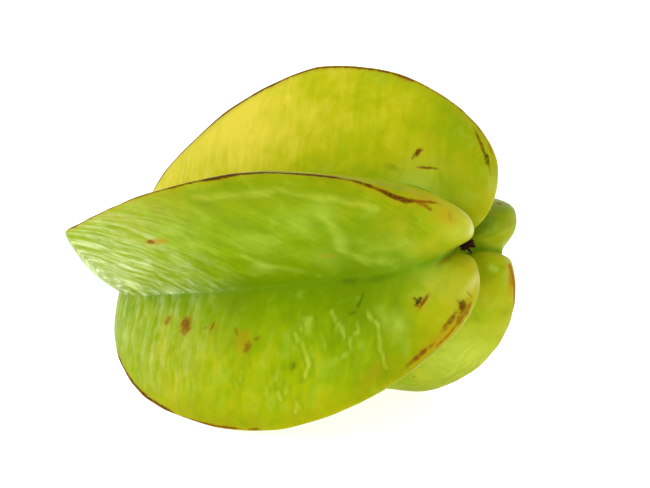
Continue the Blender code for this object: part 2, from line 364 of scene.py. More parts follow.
ring = np.arange(around)
faces = np.stack([np.zeros(around, int), 1 + np.roll(ring, -1), 1 + ring], axis=1).tolist()
for row in range(inner_rows - 1):
    here = 1 + row * around + ring
    beside = np.roll(here, -1)
    faces += np.stack([here, beside, beside + around, here + around], axis=1).tolist()
here = tip - around + ring
faces += np.stack([here, np.roll(here, -1), np.full(around, tip)], axis=1).tolist()
skin_mesh = bpy.data.meshes.new("fruit_skin")
skin_mesh.from_pydata((by_vertex(laid) * MM).tolist(), [], faces)
skin_mesh.update()
outward = np.zeros(len(skin_mesh.vertices) * 3)
skin_mesh.vertices.foreach_get("normal", outward)
raised = by_vertex(laid) + outward.reshape(-1, 3) * by_vertex(relief)[:, None]
raised = np.clip(raised * MM, np.array(cad_box[0]), np.array(cad_box[1]))
skin_mesh.vertices.foreach_set("co", raised.ravel())
skin_mesh.update()
skin_mesh.shade_smooth()
fruit_skin = bpy.data.objects.new("fruit_skin", skin_mesh)
bpy.context.scene.collection.objects.link(fruit_skin)

# Where the skin turned yellow, stayed a dark green, went olive, or lost its green to a milky bloom
# that is partly a painted sheen. The shade patches darken it: painted shade by the valleys and under
# the front rib's edge, darker green elsewhere. The paler patches are partly painted highlights, and
# on the back foot rib two painted highlight specks and a broad painted light.
Patch = namedtuple("Patch", "rib side s t reach amount")
YELLOW_PATCHES = [
    Patch("top", -1, 0.33, 0.67, 22.0, 0.78),
    Patch("top", -1, 0.45, 0.42, 15.0, 0.24),
    Patch("top", -1, 0.25, 0.82, 11.0, 0.40),
    Patch("top", -1, 0.06, 0.52, 8.0, 0.32),
    Patch("top", -1, 0.74, 0.30, 9.0, 0.24),
    Patch("top", -1, 0.55, 0.54, 12.0, 0.20),
    Patch("front_foot", 1, 0.38, 0.70, 17.0, 0.32),
    Patch("front_foot", 1, 0.15, 0.50, 12.0, 0.22),
    Patch("front_foot", 1, 0.35, 0.30, 9.0, 0.25),
    Patch("back_foot", 1, 0.30, 0.45, 18.0, 0.30),
    Patch("front_foot", 1, 0.30, 0.20, 8.0, 0.30),
    Patch("front", -1, 0.15, 0.21, 8.0, 0.26),
    Patch("front", 1, 0.30, 0.24, 12.0, 0.30),
    Patch("back", -1, 0.40, 0.70, 20.0, 0.6),
    Patch("top", 1, 0.40, 0.62, 22.0, 0.5),
    Patch("back_foot", -1, 0.40, 0.75, 18.0, 0.4),
]
GREEN_PATCHES = [
    Patch("front_foot", 1, 0.75, 0.45, 14.0, 0.25),
    Patch("front", -1, 0.85, 0.45, 12.0, 0.22),
    Patch("front", -1, 0.52, 0.377, 5.5, 0.22),
    Patch("top", -1, 0.25, 0.27, 9.0, 0.16),
    Patch("back", -1, 0.30, 0.15, 14.0, 0.8),
    Patch("back_foot", -1, 0.60, 0.40, 16.0, 0.4),
]
# Darker patches: painted shade by the valleys and under the front rib's edge, darker green elsewhere.
SHADE_PATCHES = [
    Patch("front", -1, 0.18, 0.52, 9.0, 0.40),
    Patch("front", -1, 0.12, 0.42, 8.0, 0.35),
    Patch("front", -1, 0.12, 0.60, 7.0, 0.30),
    Patch("front", -1, 0.52, 0.377, 5.5, 0.30),
    Patch("front", -1, 0.85, 0.56, 6.0, 0.30),
    Patch("front", -1, 0.88, 0.42, 8.0, 0.25),
    Patch("front", -1, 0.62, 0.48, 6.0, 0.35),
    Patch("front", -1, 0.45, 0.58, 8.0, 0.25),
    Patch("front", -1, 0.75, 0.60, 5.0, 0.40),
    Patch("front", -1, 0.95, 0.63, 4.5, 0.60),
    Patch("front", -1, 0.05, 0.55, 3.5, 0.55),
    Patch("front", -1, 0.97, 0.48, 4.0, 0.45),
    Patch("front_foot", 1, 0.97, 0.48, 4.0, 0.45),
    Patch("front_foot", 1, 0.90, 0.64, 8.0, 0.40),
    Patch("front_foot", 1, 0.90, 0.48, 9.0, 0.30),
    Patch("front_foot", 1, 0.20, 0.36, 6.0, 0.20),
    Patch("top", -1, 0.10, 0.30, 7.0, 0.25),
    Patch("back", -1, 0.30, 0.14, 9.0, 0.75),
    Patch("back", 1, 0.50, 0.10, 6.0, 0.25),
]
PALE_AND_HIGHLIGHT_PATCHES = [
    Patch("front", -1, 0.45, 0.508, 4.0, 0.30),
    Patch("front", -1, 0.58, 0.450, 2.2, 0.35),
    Patch("front", -1, 0.37, 0.454, 3.0, 0.35),
    Patch("front", -1, 0.55, 0.573, 5.0, 0.35),
    Patch("front", -1, 0.72, 0.592, 2.2, 0.75),
    Patch("front", -1, 0.70, 0.346, 5.0, 0.30),
    Patch("front", -1, 0.72, 0.520, 4.0, 0.30),
    Patch("front", -1, 0.30, 0.650, 7.0, 0.20),
    Patch("front", -1, 0.16, 0.205, 5.0, 0.30),
    Patch("top", -1, 0.92, 0.300, 5.0, 0.50),
    Patch("front_foot", 1, 0.62, 0.250, 4.5, 0.40),
    Patch("front_foot", 1, 0.50, 0.369, 2.0, 0.60),
    # Painted highlights: two small bright specks on the back foot rib.
    Patch("back_foot", 1, 0.36, 0.152, 0.7, 1.00),
    Patch("back_foot", 1, 0.30, 0.166, 0.5, 1.00),
    # Painted light: a broad brighter patch on the back foot rib.
    Patch("back_foot", 1, 0.38, 0.430, 11.0, 0.60),
    Patch("back", -1, 0.20, 0.130, 2.2, 0.25),
    Patch("back", 1, 0.45, 0.700, 9.0, 0.40),
]


def patches(found):
    """The sum of soft round patches, each on its own rib's flank."""
    total = np.zeros(laid.shape[:2])
    for patch in found:
        centre = skin_point(patch.rib, patch.side, patch.s, patch.t)
        apart = np.linalg.norm(laid - centre, axis=-1)
        own_rib = rib_of == rib_names.index(patch.rib)
        own_flank = own_rib * np.maximum(side_of == patch.side, smooth(0.12, 0.0, s_grid))
        total += patch.amount * np.exp(-((apart / patch.reach) ** 2)) * own_flank
    return total


def give(name, values):
    """Stores one number for each vertex, for the skin's material to read."""
    layer = skin_mesh.attributes.new(name, "FLOAT", "POINT")
    layer.data.foreach_set("value", by_vertex(values).astype(np.float32))


RIPE_EVENLY = 0.22
RIPE_VARIES = 0.14
RIPE_PATCH_SIZE = 24.0
LEAST_RIPE = -0.4
MOST_RIPE = 1.2
ripe = RIPE_EVENLY + RIPE_VARIES * noise_on(laid, RIPE_PATCH_SIZE, 6) + patches(YELLOW_PATCHES)
give("ripe", np.clip(ripe - patches(GREEN_PATCHES), LEAST_RIPE, MOST_RIPE))

# The ribs differ in their milky bloom, which is partly a painted sheen, and how much of it reaches
# the edge, in the painted highlight on the rim of the hollow, in how wide and strong the olive band
# by the edge is, and in which side its brown line lies on.
RibLook = namedtuple("RibLook", "bloom bloom_at_edge lip band_reach band line_shift")
RIB_LOOKS = {
    "front": RibLook(1.0, 0.50, 1.0, 13.0, 1.0, 0.0),
    "top": RibLook(0.12, 0.0, 0.2, 4.0, 0.3, -0.70),
    "back": RibLook(0.4, 0.0, 0.0, 4.5, 1.0, 0.0),
    "back_foot": RibLook(0.4, 0.0, 0.3, 4.5, 1.0, 0.2),
    "front_foot": RibLook(0.33, 0.10, 0.8, 6.5, 1.0, 0.35),
}


def per_rib(field):
    """One value of each rib's look, for every column of the skin."""
    return np.array([getattr(RIB_LOOKS[name], field) for name in rib_names])[rib_of]


MOST_SHADE = 0.8
# The milky bloom towards the blossom end, partly real whitish streaks and partly a painted sheen.
bloom_at_edge = per_rib("bloom_at_edge")
bloom_and_sheen_across = bloom_at_edge + (1 - bloom_at_edge) * smooth(0.05, 0.55, s_grid)
bloom = smooth(0.60, 0.80, t_grid) * bloom_and_sheen_across * per_rib("bloom")
shade = np.clip(patches(SHADE_PATCHES), 0, MOST_SHADE)
give("bloom", bloom * (1 - shade))
give("pale_and_highlight", np.clip(patches(PALE_AND_HIGHLIGHT_PATCHES), 0, 1))
give("shade", shade)
olive_along = smooth(0.48, 0.24, t_grid) * smooth(0.03, 0.14, t_grid)
give("olive", olive_along * smooth(1.05, 0.60, s_grid))

# Painted shade: darker green towards the bottom of each valley and more in its crease, weaker on the
# top rib's flank towards the front rib, fading towards the blossom end, and in the stalk hollow.
VALLEY_SHADE = 0.75
CREASE_SHADE = 0.35
HOLLOW_SHADE = 0.6
TOP_VALLEY_SHARE = 0.45
valley_shade = VALLEY_SHADE * smooth(0.62, 1.0, s_grid) + CREASE_SHADE * smooth(0.88, 1.0, s_grid)
valley_shade *= np.where((rib_of == rib_names.index("top")) & (side_of < 0), TOP_VALLEY_SHARE, 1.0)
valley_shade = valley_shade * smooth(1.0, 0.75, t_grid) + HOLLOW_SHADE * smooth(0.12, 0.02, t_grid)
give("valley_shade", np.clip(valley_shade, 0, 1))

# A painted highlight: a thin whitish rim round the stalk hollow near each rib's edge, slanting away
# from it on side 1.
RIM_HIGHLIGHT_AT = 0.172
RIM_HIGHLIGHT_SLANT = 0.18
RIM_HIGHLIGHT_HALF_WIDTH = 0.020
rim_highlight_at = RIM_HIGHLIGHT_AT + RIM_HIGHLIGHT_SLANT * s_grid * (side_of > 0)
lip = np.exp(-(((t_grid - rim_highlight_at) / RIM_HIGHLIGHT_HALF_WIDTH) ** 2)) * smooth(0.34, 0.05, s_grid)
give("lip", lip * per_rib("lip"))
give("threads", threads)
give("thread_sides", thread_sides)

BAND_FROM_EDGE = 0.6
band = smooth(0, 1, 1 - (edge_mm - BAND_FROM_EDGE) / per_rib("band_reach"))
band = band * smooth(0.20, 0.34, t_grid) * smooth(0.80, 0.66, t_grid)
give("edge_band", band * per_rib("band"))

# A dry brown line follows the edges, broad and dark where they rubbed, thin or absent elsewhere.
Rub = namedtuple("Rub", "rib from_t to_t half_width dark")
RUBS = [
    Rub("front", 0.80, 0.262, 0.24, 0.60),
    Rub("front", 0.81, 0.765, 0.46, 0.75),
    Rub("front", 0.64, 0.58, 0.34, 0.80),
    Rub("front", 0.590, 0.525, 0.66, 1.00),
    Rub("front", 0.57, 0.40, 0.62, 0.90),
    Rub("front", 0.40, 0.350, 0.34, 0.85),
    Rub("front", 0.355, 0.295, 0.50, 0.95),
    Rub("front", 0.290, 0.258, 0.34, 0.45),
    Rub("top", 0.93, 0.60, 0.52, 0.80),
    Rub("top", 0.62, 0.40, 0.36, 0.70),
    Rub("top", 0.42, 0.20, 0.12, 0.30),
    Rub("top", 0.845, 0.80, 1.10, 0.95),
    Rub("top", 0.760, 0.738, 0.90, 0.90),
    Rub("front_foot", 0.88, 0.70, 0.52, 0.85),
    Rub("front_foot", 0.70, 0.60, 0.32, 0.6),
    Rub("front_foot", 0.592, 0.575, 0.60, 0.85),
    Rub("front_foot", 0.32, 0.22, 0.22, 0.25),
    Rub("back_foot", 0.28, 0.18, 0.55, 0.25),
    Rub("back_foot", 0.80, 0.60, 0.22, 0.5),
    Rub("back", 0.75, 0.35, 0.25, 0.5),
    Rub("back", 0.52, 0.47, 0.50, 0.8),
]
RUB_EASE = 0.018
NO_RUB = -0.5
FAINTEST_RUB = 0.3
rub_width = np.full(laid.shape[:2], NO_RUB)
rub_dark = np.full(laid.shape[:2], FAINTEST_RUB)
for rub in RUBS:
    here = smooth(rub.to_t - RUB_EASE, rub.to_t + RUB_EASE, t_grid)
    here = here * smooth(rub.from_t + RUB_EASE, rub.from_t - RUB_EASE, t_grid)
    here = here * (rib_of == rib_names.index(rub.rib))
    width = NO_RUB + (rub.half_width - NO_RUB) * here
    own_dark = FAINTEST_RUB + (rub.dark - FAINTEST_RUB) * here
    rub_dark = np.where(width > rub_width, own_dark, rub_dark)
    rub_width = np.maximum(rub_width, width)
RUB_REACHES = 0.35
rub_width = np.where(s_grid < RUB_REACHES, rub_width, NO_RUB)
give("rub_width", rub_width)
give("rub_dark", rub_dark)

# On the front rib the line leaves the very edge: (t, how far to its upper side in millimetres).
RUB_PATH = [(0.0, 0.6), (0.265, 0.6), (0.29, -0.3), (0.31, -1.0), (0.33, -0.9), (0.35, -0.3)]
RUB_PATH += [(0.38, 0.4), (0.42, 1.1), (0.50, 1.15), (0.555, 0.35), (0.62, 0.1), (0.72, 0.1)]
RUB_PATH += [(1.0, 0.0)]
line_at = np.interp(t_grid, *zip(*RUB_PATH)) * (rib_of == rib_names.index("front"))
give("from_line", edge_mm * side_of - (line_at + per_rib("line_shift")))

# Scars and stains, each with a place, a heading (0 to the stalk, 90 to the valley) and half sizes.
# One stain is painted shade along a valley crease.
# Tone runs from near black through brown and tan to a dark green bruise.
BLACK = 0.0
BROWN = 0.33
TAN = 0.66
BRUISE = 1.0
MARK_TONES = ((BLACK, "#341C08"), (BROWN, "#7A420A"), (TAN, "#AA8614"), (BRUISE, "#4C6A04"))
Mark = namedtuple("Mark", "rib side s t heading half_length half_width tone strength")
STAINS_AND_SHADE = [
    Mark("front_foot", 1, 0.665, 0.712, 90, 2.6, 2.3, TAN, 0.60),
    Mark("front_foot", 1, 0.590, 0.622, 120, 3.2, 2.6, TAN, 0.55),
    Mark("front_foot", 1, 0.670, 0.669, 90, 1.4, 1.6, TAN, 0.35),
    Mark("front_foot", 1, 0.700, 0.746, 90, 1.6, 1.3, TAN, 0.45),
    Mark("front_foot", 1, 0.090, 0.300, 0, 11.0, 1.5, TAN, 0.60),
    Mark("front_foot", 1, 0.550, 0.310, 0, 2.2, 1.6, TAN, 0.40),
    Mark("front", -1, 0.410, 0.680, 10, 4.0, 1.2, TAN, 0.75),
    Mark("front", -1, 0.080, 0.245, 0, 4.6, 2.0, TAN, 0.42),
    Mark("front", 1, 0.080, 0.285, 0, 4.5, 1.4, TAN, 0.40),
    Mark("front", -1, 0.700, 0.520, 0, 2.4, 0.8, TAN, 0.40),
    Mark("front_foot", 1, 0.950, 0.520, 0, 2.8, 1.0, BRUISE, 0.65),
    Mark("front_foot", 1, 0.925, 0.420, 0, 4.2, 0.9, BRUISE, 0.55),
    Mark("front_foot", 1, 0.450, 0.552, 60, 1.3, 0.9, BRUISE, 0.45),
    Mark("front_foot", 1, 0.250, 0.420, 20, 4.5, 1.6, TAN, 0.30),
    # Painted shade: a brownish dark streak along the crease of the valley between this rib and the
    # front rib.
    Mark("front_foot", 1, 0.900, 0.160, 0, 4.0, 0.7, BROWN, 0.55),
    Mark("top", -1, 0.780, 0.400, 10, 2.6, 0.9, BRUISE, 0.35),
    Mark("top", -1, 0.060, 0.420, 0, 2.6, 1.4, TAN, 0.80),
    Mark("back_foot", 1, 0.070, 0.225, 0, 5.0, 1.3, TAN, 0.90),
    Mark("back_foot", -1, 0.40, 0.50, 30, 3.0, 1.6, TAN, 0.50),
    Mark("back", 1, 0.50, 0.60, 80, 2.5, 1.5, TAN, 0.50),
    Mark("back", -1, 0.35, 0.40, 40, 3.5, 1.5, TAN, 0.45),
]
SCARS = [
    Mark("front_foot", 1, 0.675, 0.711, 100, 1.90, 1.65, BROWN, 0.85),
    Mark("front_foot", 1, 0.700, 0.746, 80, 1.30, 0.80, BROWN, 0.60),
    Mark("front_foot", 1, 0.675, 0.669, 75, 1.10, 0.40, BROWN, 0.60),
    Mark("front_foot", 1, 0.660, 0.680, 20, 0.55, 0.28, BROWN, 0.40),
    Mark("front_foot", 1, 0.640, 0.634, -55, 1.30, 0.40, BROWN, 0.45),
    Mark("front_foot", 1, 0.560, 0.614, 80, 1.40, 0.95, BROWN, 0.62),
    Mark("front_foot", 1, 0.600, 0.606, 25, 1.10, 0.40, BROWN, 0.50),
    Mark("front_foot", 1, 0.450, 0.550, 70, 0.80, 0.45, BROWN, 0.40),
    Mark("front_foot", 1, 0.578, 0.317, 0, 0.95, 0.75, BLACK, 0.95),
    Mark("front_foot", 1, 0.552, 0.303, 22, 1.90, 0.42, BROWN, 0.90),
    Mark("front_foot", 1, 0.612, 0.322, 120, 0.80, 0.30, BROWN, 0.80),
    Mark("front_foot", 1, 0.548, 0.322, -50, 0.80, 0.30, BROWN, 0.80),
    Mark("front_foot", 1, 0.092, 0.244, 60, 1.80, 1.40, 0.12, 0.88),
    Mark("front_foot", 1, 0.040, 0.262, 50, 1.30, 0.85, 0.12, 0.85),
    Mark("front_foot", 1, 0.120, 0.222, 70, 0.90, 0.30, BROWN, 0.60),
    Mark("front_foot", 1, 0.165, 0.273, 0, 2.30, 0.55, 0.20, 0.80),
    Mark("front_foot", 1, 0.125, 0.342, 0, 3.60, 0.50, BROWN, 0.85),
    Mark("front_foot", 1, 0.740, 0.468, 60, 1.80, 0.40, BRUISE, 0.75),
    Mark("front_foot", 1, 0.680, 0.480, 10, 1.10, 0.40, BRUISE, 0.65),
    Mark("front", -1, 0.400, 0.688, 10, 1.20, 0.65, BROWN, 0.85),
    Mark("front", -1, 0.065, 0.285, 8, 2.40, 0.42, BROWN, 0.85),
    Mark("front", -1, 0.060, 0.238, 60, 1.10, 0.50, BROWN, 0.25),
    Mark("top", -1, 0.628, 0.347, -72, 1.45, 0.68, 0.20, 0.95),
    Mark("top", -1, 0.712, 0.309, -24, 2.10, 0.32, 0.26, 0.80),
    Mark("top", -1, 0.040, 0.420, 0, 3.00, 0.90, 0.20, 0.60),
    Mark("top", -1, 0.180, 0.235, 4, 4.60, 0.36, 0.16, 0.80),
    Mark("top", -1, 0.176, 0.215, 4, 1.50, 0.50, BLACK, 0.85),
    Mark("back", -1, 0.375, 0.231, 0, 0.90, 0.60, BROWN, 0.80),
    Mark("back_foot", 1, 0.100, 0.218, 0, 1.80, 0.40, BROWN, 0.60),
    Mark("back_foot", 1, 0.375, 0.540, 20, 0.60, 0.25, BROWN, 0.50),
    Mark("back_foot", -1, 0.400, 0.500, 40, 1.00, 0.60, BROWN, 0.80),
    Mark("back", 1, 0.500, 0.600, 100, 0.90, 0.60, BROWN, 0.80),
    Mark("back", -1, 0.350, 0.400, 60, 1.60, 0.35, BROWN, 0.75),
    Mark("top", 1, 0.450, 0.450, 20, 1.80, 0.30, BROWN, 0.70),
    Mark("top", 1, 0.550, 0.700, 80, 0.80, 0.50, BROWN, 0.70),
]
FAR_AWAY = 9.0
NUDGE_T = 0.004
NUDGE_S = 0.01
SHARED_EDGE = 0.04
MARK_REACH = 3
loop_vertex = np.zeros(len(skin_mesh.loops), int)
skin_mesh.loops.foreach_get("vertex_index", loop_vertex)
loop_total = np.zeros(len(skin_mesh.polygons), int)
skin_mesh.polygons.foreach_get("loop_total", loop_total)
loop_face = np.repeat(np.arange(len(loop_total)), loop_total)
smooth_skin = by_vertex(laid)
face_middle = np.zeros((len(loop_total), 3))
np.add.at(face_middle, loop_face, smooth_skin[loop_vertex])
face_middle /= loop_total[:, None]
face_column = np.tile(ring, inner_rows + 1)
next_column = (face_column + 1) % around
face_side = np.where(s_grid[0][face_column] < s_grid[0][next_column], 1, -1)
face_rib = np.where(face_side > 0, rib_of[face_column], rib_of[next_column])
face_s = np.minimum(s_grid[0][face_column], s_grid[0][next_column])


def corner_vectors(name, values):
    """Stores a vector for each corner of each face, for the skin's material to read."""
    layer = skin_mesh.attributes.new(name, "FLOAT_VECTOR", "CORNER")
    layer.data.foreach_set("vector", values.astype(np.float32).ravel())


def lay_marks(name, marks):
    """Gives each face its nearest mark, and each corner its place inside that mark's outline."""
    nearest = np.full(len(loop_total), FAR_AWAY)
    place = np.full((len(loop_vertex), 3), FAR_AWAY)
    look = np.zeros((len(loop_vertex), 3))
    for mark in marks:
        centre = skin_point(mark.rib, mark.side, mark.s, mark.t)
        to_stalk = skin_point(mark.rib, mark.side, mark.s, mark.t - NUDGE_T) - centre
        to_valley = skin_point(mark.rib, mark.side, mark.s + NUDGE_S, mark.t) - centre
        to_stalk /= np.linalg.norm(to_stalk)
        to_valley -= to_stalk * (to_valley @ to_stalk)
        to_valley /= np.linalg.norm(to_valley)
        heading = math.radians(mark.heading)
        lengthways = to_stalk * math.cos(heading) + to_valley * math.sin(heading)
        lengthways = lengthways / mark.half_length
        sideways = to_valley * math.cos(heading) - to_stalk * math.sin(heading)
        sideways = sideways / mark.half_width
        offset = face_middle - centre
        apart = np.hypot(offset @ lengthways, offset @ sideways)
        own = (face_side == mark.side) | (face_s < SHARED_EDGE)
        own &= face_rib == rib_names.index(mark.rib)
        own &= np.linalg.norm(offset, axis=1) < MARK_REACH * mark.half_length
        apart = np.where(own, apart, FAR_AWAY)
        closer = apart < nearest
        nearest = np.where(closer, apart, nearest)
        chosen = closer[loop_face]
        corner = smooth_skin[loop_vertex[chosen]] - centre
        across = [corner @ lengthways, corner @ sideways, corner[:, 0] * 0]
        place[chosen] = np.stack(across, axis=1)
        look[chosen] = (mark.tone, mark.strength, 0)
    corner_vectors(name + "_at", place)
    corner_vectors(name + "_look", look)


lay_marks("stain_and_shade", STAINS_AND_SHADE)
lay_marks("scar", SCARS)

# The skin's streaks lie square to the fruit, but on the front rib they sweep back to its corner.
SWEEP = 12.0
SWEEP_STARTS = 4.0
FLANKS_APART = 40.0
corner_along = by_vertex(on_axis)[loop_vertex]
corner_edge = by_vertex(edge_mm)[loop_vertex]
swept = ((face_rib == rib_names.index("front")) & (face_side < 0))[loop_face]
corner_along = corner_along - swept * SWEEP * np.log(1 + corner_edge / SWEEP_STARTS)
flank_number = (2 * face_rib + (face_side > 0))[loop_face]
skin_at = np.stack([corner_along, corner_edge, FLANKS_APART * flank_number], axis=1)
corner_vectors("skin_at", skin_at)


def hue(code):
    """A colour given as a six-digit code, as the linear values that a shader takes."""
    parts = [int(code[i : i + 2], 16) / 255 for i in (1, 3, 5)]
    return (*[c / 12.92 if c <= 0.04045 else ((c + 0.055) / 1.055) ** 2.4 for c in parts], 1)


class Shading:
    """A material's node tree, with short ways to add a node and to join it to others."""

    def __init__(self, tree):
        self.tree = tree

    def join(self, value, socket):
        if isinstance(value, bpy.types.NodeSocket):
            self.tree.links.new(value, socket)
        else:
            socket.default_value = value

    def add(self, kind, settings=None, **inputs):
        made = self.tree.nodes.new("ShaderNode" + kind)
        for name, value in (settings or {}).items():
            setattr(made, name, value)
        for name, value in inputs.items():
            self.join(value, made.inputs[name.replace("_", " ")])
        return made

    def number(self, name):
        """A number that the mesh carries."""
        return self.add("Attribute", {"attribute_name": name}).outputs["Fac"]

    def vector(self, name):
        """A vector that the mesh carries."""
        return self.add("Attribute", {"attribute_name": name}).outputs["Vector"]

    def calc(self, operation, *values):
        made = self.add("Math", {"operation": operation})
        for value, socket in zip(values, made.inputs):
            self.join(value, socket)
        return made.outputs[0]

    def turn_vector(self, operation, *values):
        made = self.add("VectorMath", {"operation": operation})
        for value, socket in zip(values, made.inputs):
            self.join(value, socket)
        return made.outputs["Value"] if operation == "LENGTH" else made.outputs["Vector"]

    def noise(self, vector, scale, detail=2.0, roughness=0.5):
        made = self.add("TexNoise", Vector=vector, Scale=scale, Detail=detail, Roughness=roughness)
        return made.outputs["Fac"]

    def step(self, value, start, end):
        """An eased step, 0 at start and 1 at end."""
        made = self.add("MapRange", {"interpolation_type": "SMOOTHSTEP"}, Value=value)
        self.join(start, made.inputs["From Min"])
        self.join(end, made.inputs["From Max"])
        return made.outputs["Result"]

    def blend(self, factor, under, over):
        made = self.add("Mix", {"data_type": "RGBA"})
        self.join(factor, made.inputs[0])
        self.join(under, made.inputs[6])
        self.join(over, made.inputs[7])
        return made.outputs[2]

    def tint(self, under, mask, strength, code):
        """Lays a colour over another where a mask says, at the given strength."""
        return self.blend(self.calc("MULTIPLY", mask, strength), under, hue(code))

    def shift(self, noise_value, amount):
        """Turns noise into a shift of up to half of amount either way."""
        return self.calc("MULTIPLY_ADD", noise_value, amount, -amount / 2)

    def ramp(self, value, stops):
        """The colour at a value between stops, each a position and a colour's code."""
        made = self.add("ValToRGB", Fac=value)
        first, *between, last = stops
        for element, (position, code) in zip(made.color_ramp.elements, (first, last)):
            element.position = position
            element.color = hue(code)
        for position, code in between:
            made.color_ramp.elements.new(position).color = hue(code)
        return made.outputs["Color"]


# The waxy skin is green and ripens to yellow, with faint streaks across each rib. Over that lie olive
# places, painted shade in the valleys, creases and hollow, darker green mottle, darker patches partly
# painted shade, paler patches partly painted highlight, the milky bloom partly painted sheen, the
# threads' painted highlight and the painted shade beside them, the painted highlight on the hollow's
# rim, the stains and scars with one stain painted shade, and last the brown edge line.
RIPENING = ((0.0, "#729002"), (0.30, "#8CA302"), (0.62, "#B3B30A"), (1.0, "#D8C83C"))
skin = bpy.data.materials.new("waxy_skin")
skin.use_nodes = True
make = Shading(skin.node_tree)
shader = skin.node_tree.nodes["Principled BSDF"]
place = make.vector("skin_at")
world_place = make.add("TexCoord").outputs["Object"]

warp = make.add("TexNoise", Vector=place, Scale=0.11, Detail=1.0).outputs["Color"]
warp = make.turn_vector("SUBTRACT", warp, (0.5, 0.5, 0.5))
warp = make.turn_vector("MULTIPLY", warp, (4.0, 8.0, 0.0))
place = make.turn_vector("ADD", place, warp)
streak_at = make.turn_vector("MULTIPLY", place, (0.66, 0.11, 1.0))
streaks = make.noise(streak_at, 1.0, 3.0, 0.58)
fine_streak_at = make.turn_vector("MULTIPLY", place, (1.7, 0.22, 1.0))
fine_streaks = make.noise(fine_streak_at, 1.0, 2.0, 0.5)
mottle = make.noise(world_place, 130.0, 3.0, 0.55)
blotches = make.noise(world_place, 420.0, 3.0, 0.6)
grain = make.noise(world_place, 1500.0, 2.0, 0.5)

ripeness = make.calc("ADD", make.number("ripe"), make.shift(mottle, 0.5))
ripeness = make.calc("ADD", ripeness, make.shift(streaks, 0.44))
ripeness = make.calc("ADD", ripeness, make.shift(blotches, 0.30))
colour = make.ramp(ripeness, RIPENING)

olive = make.calc("MULTIPLY", make.number("olive"), make.step(mottle, 0.25, 0.65))
colour = make.tint(colour, olive, 0.70, "#A6A010")
# Painted shade in the valleys, their creases and the stalk hollow.
colour = make.tint(colour, make.number("valley_shade"), 0.85, "#5F8402")
edge_band = make.calc("MULTIPLY", make.number("edge_band"), make.step(streaks, 0.25, 0.70))
colour = make.tint(colour, edge_band, 0.85, "#98940A")

MOTTLE_AND_SHADE_GREEN = "#6C8402"
clouds = make.noise(world_place, 240.0, 2.0, 0.5)
cloudy = make.calc("SUBTRACT", 0.85, make.number("ripe"))
cloudy = make.calc("MINIMUM", make.calc("MAXIMUM", cloudy, 0.0), 0.7)
dark_cloud = make.calc("MULTIPLY", cloudy, 0.50)
dark_cloud = make.calc("MULTIPLY", dark_cloud, make.step(clouds, 0.50, 0.70))
colour = make.blend(dark_cloud, colour, hue(MOTTLE_AND_SHADE_GREEN))
pale_cloud = make.calc("MULTIPLY", cloudy, 0.38)
pale_cloud = make.calc("MULTIPLY", pale_cloud, make.step(clouds, 0.48, 0.30))
colour = make.blend(pale_cloud, colour, hue("#A6C23E"))
# The darker patches, partly painted shade.
shaded = make.calc("MULTIPLY", make.number("shade"), make.step(blotches, 0.15, 0.60))
colour = make.blend(shaded, colour, hue(MOTTLE_AND_SHADE_GREEN))
# Paler patches, partly painted highlight and painted light.
pale_and_highlight_mask = make.calc("MULTIPLY", make.number("pale_and_highlight"), make.step(mottle, 0.20, 0.60))
colour = make.tint(colour, pale_and_highlight_mask, 0.70, "#B6CE54")

# The milky bloom, partly real whitish streaks and partly a painted sheen.
wisps = make.noise(make.turn_vector("MULTIPLY", place, (0.30, 0.16, 1.0)), 1.0, 3.0, 0.6)
wispy = make.calc("MULTIPLY_ADD", make.step(wisps, 0.34, 0.62), 0.75, 0.40)
bloom = make.calc("MULTIPLY", make.number("bloom"), wispy)
broken = make.calc("MULTIPLY_ADD", make.step(blotches, 0.36, 0.60), 0.50, 0.60)
bloom = make.calc("MULTIPLY", bloom, broken)
milky_and_sheen = make.calc("MULTIPLY", bloom, make.step(streaks, 0.38, 0.64))
milky_and_sheen_fine = make.calc("MULTIPLY", bloom, make.step(fine_streaks, 0.46, 0.66))
milky_and_sheen = make.calc("MULTIPLY", milky_and_sheen, 0.88)
milky_and_sheen = make.calc("MAXIMUM", milky_and_sheen, make.calc("MULTIPLY", milky_and_sheen_fine, 0.50))
colour = make.blend(milky_and_sheen, colour, hue("#D8E2A4"))
# Painted shade beside each thread, and a paler colour on it that is partly painted highlight.
colour = make.tint(colour, make.number("thread_sides"), 0.50, "#6C8C02")
colour = make.tint(colour, make.number("threads"), 0.50, "#CAD650")
# The painted highlight on the rim of the stalk hollow.
colour = make.tint(colour, make.number("lip"), 0.62, "#D6D888")

tones = []
masks = []
for name, wobble, wobble_size, soft_start, soft_end in (
    ("stain_and_shade", 1.3, 520.0, 1.25, 0.15),
    ("scar", 1.7, 1000.0, 1.40, 0.40),
):
    shift = make.add("TexNoise", Vector=world_place, Scale=wobble_size, Detail=3.0).outputs["Color"]
    shift = make.turn_vector("SUBTRACT", shift, (0.5, 0.5, 0.5))
    shift = make.turn_vector("MULTIPLY", shift, (wobble, wobble, 0.0))
    inside = make.turn_vector("ADD", make.vector(name + "_at"), shift)
    inside = make.turn_vector("MULTIPLY", inside, (1.0, 1.0, 0.0))
    reach = make.turn_vector("LENGTH", inside)
    look = make.add("SeparateXYZ", Vector=make.vector(name + "_look"))
    mask = make.calc("MULTIPLY", make.step(reach, soft_start, soft_end), look.outputs["Y"])
    masks.append(mask)
    tones.append(make.ramp(look.outputs["X"], MARK_TONES))
patchy = make.step(make.noise(world_place, 1100.0, 2.0, 0.6), 0.30, 0.55)
masks[1] = make.calc("MULTIPLY", masks[1], make.calc("MULTIPLY_ADD", patchy, 0.35, 0.70))
colour = make.blend(masks[0], colour, tones[0])
colour = make.blend(masks[1], colour, tones[1])

